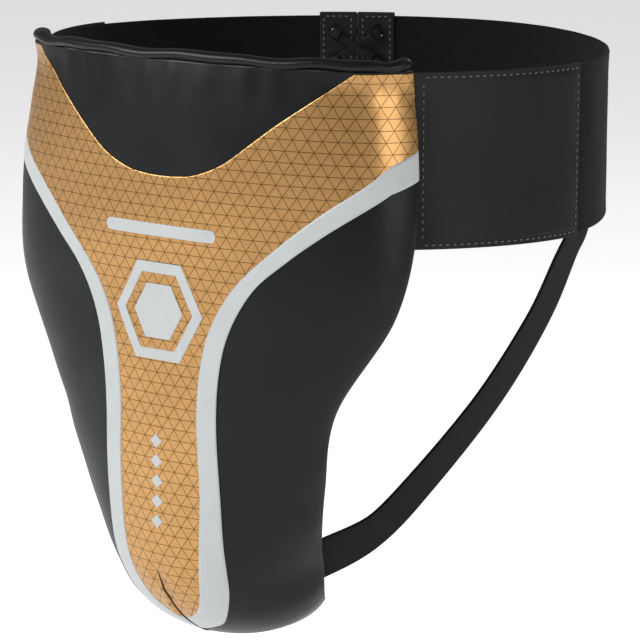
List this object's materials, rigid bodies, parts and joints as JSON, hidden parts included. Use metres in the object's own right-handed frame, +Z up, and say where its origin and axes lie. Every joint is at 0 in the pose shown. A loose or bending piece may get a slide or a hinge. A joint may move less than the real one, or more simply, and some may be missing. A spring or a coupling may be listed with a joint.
{
  "type": "groin protector",
  "caption": "Padded groin guard with a sealed hard cup, wide elastic waistband laced at the back, and two elastic leg straps.",
  "frame": {"origin": "middle of the waist opening, half way up the waistband", "axes": "+Z up, -Y towards the front of the guard, +X towards the wearer's left"},
  "size_m": [0.305, 0.2764, 0.2959],
  "materials": {
    "leatherette": "fine-grained black leatherette, satin",
    "gold_film": "satin gold film with fine triangle lines",
    "white_film": "smooth off-white film",
    "foam": "open-cell foam",
    "dense_foam": "closed-cell foam",
    "cup_plastic": "moulded polypropylene",
    "rubber": "soft rubber",
    "lining": "smooth woven lining",
    "binding": "soft black leatherette binding",
    "elastic": "ribbed woven elastic",
    "patch_leatherette": "smooth black leatherette",
    "black_metal": "black enamelled brass",
    "lace": "flat braided polyester",
    "tip_plastic": "clear-coated black plastic",
    "strap_elastic": "woven elastic"
  },
  "bodies": {
    "guard": {"outer_cover": "leatherette", "gold_film": "gold_film", "white_stripe_left": "white_film", "white_stripe_right": "white_film", "front_marks": "white_film", "soft_foam": "foam", "dense_foam": "dense_foam", "abdomen_foam": "foam", "hard_cup": "cup_plastic", "cup_edge_bumper": "rubber", "cup_liner_foam": "foam", "back_lining": "lining", "top_binding": "binding", "edge_binding_left": "binding", "edge_binding_right": "binding", "bottom_binding": "binding", "lace": "lace", "lace_tips": "tip_plastic", "leg_strap_left": "strap_elastic", "leg_strap_right": "strap_elastic"},
    "band_left": {"waist_elastic_left": "elastic", "hip_patch_left": "patch_leatherette", "lacing_tab_left": "patch_leatherette", "eyelets_left": "black_metal"},
    "band_right": {"waist_elastic_right": "elastic", "hip_patch_right": "patch_leatherette", "lacing_tab_right": "patch_leatherette", "eyelets_right": "black_metal"}
  },
  "joints": [
    {"name": "band_left_let_out", "type": "hinge", "parent": "guard", "child": "band_left", "pos_m": [0.1135, -0.0895, 0], "axis": [0, 0, -1], "range_deg": [0, 7], "deforming": ["leg_strap_left", "lace", "lace_tips"]},
    {"name": "band_right_let_out", "type": "hinge", "parent": "guard", "child": "band_right", "pos_m": [-0.1135, -0.0895, 0], "axis": [0, 0, -1], "range_deg": [-7, 0], "deforming": ["leg_strap_right"]}
  ],
  "couplings": [
    {"joint": "band_right_let_out", "follows": "band_left_let_out", "ratio": -1}
  ]
}
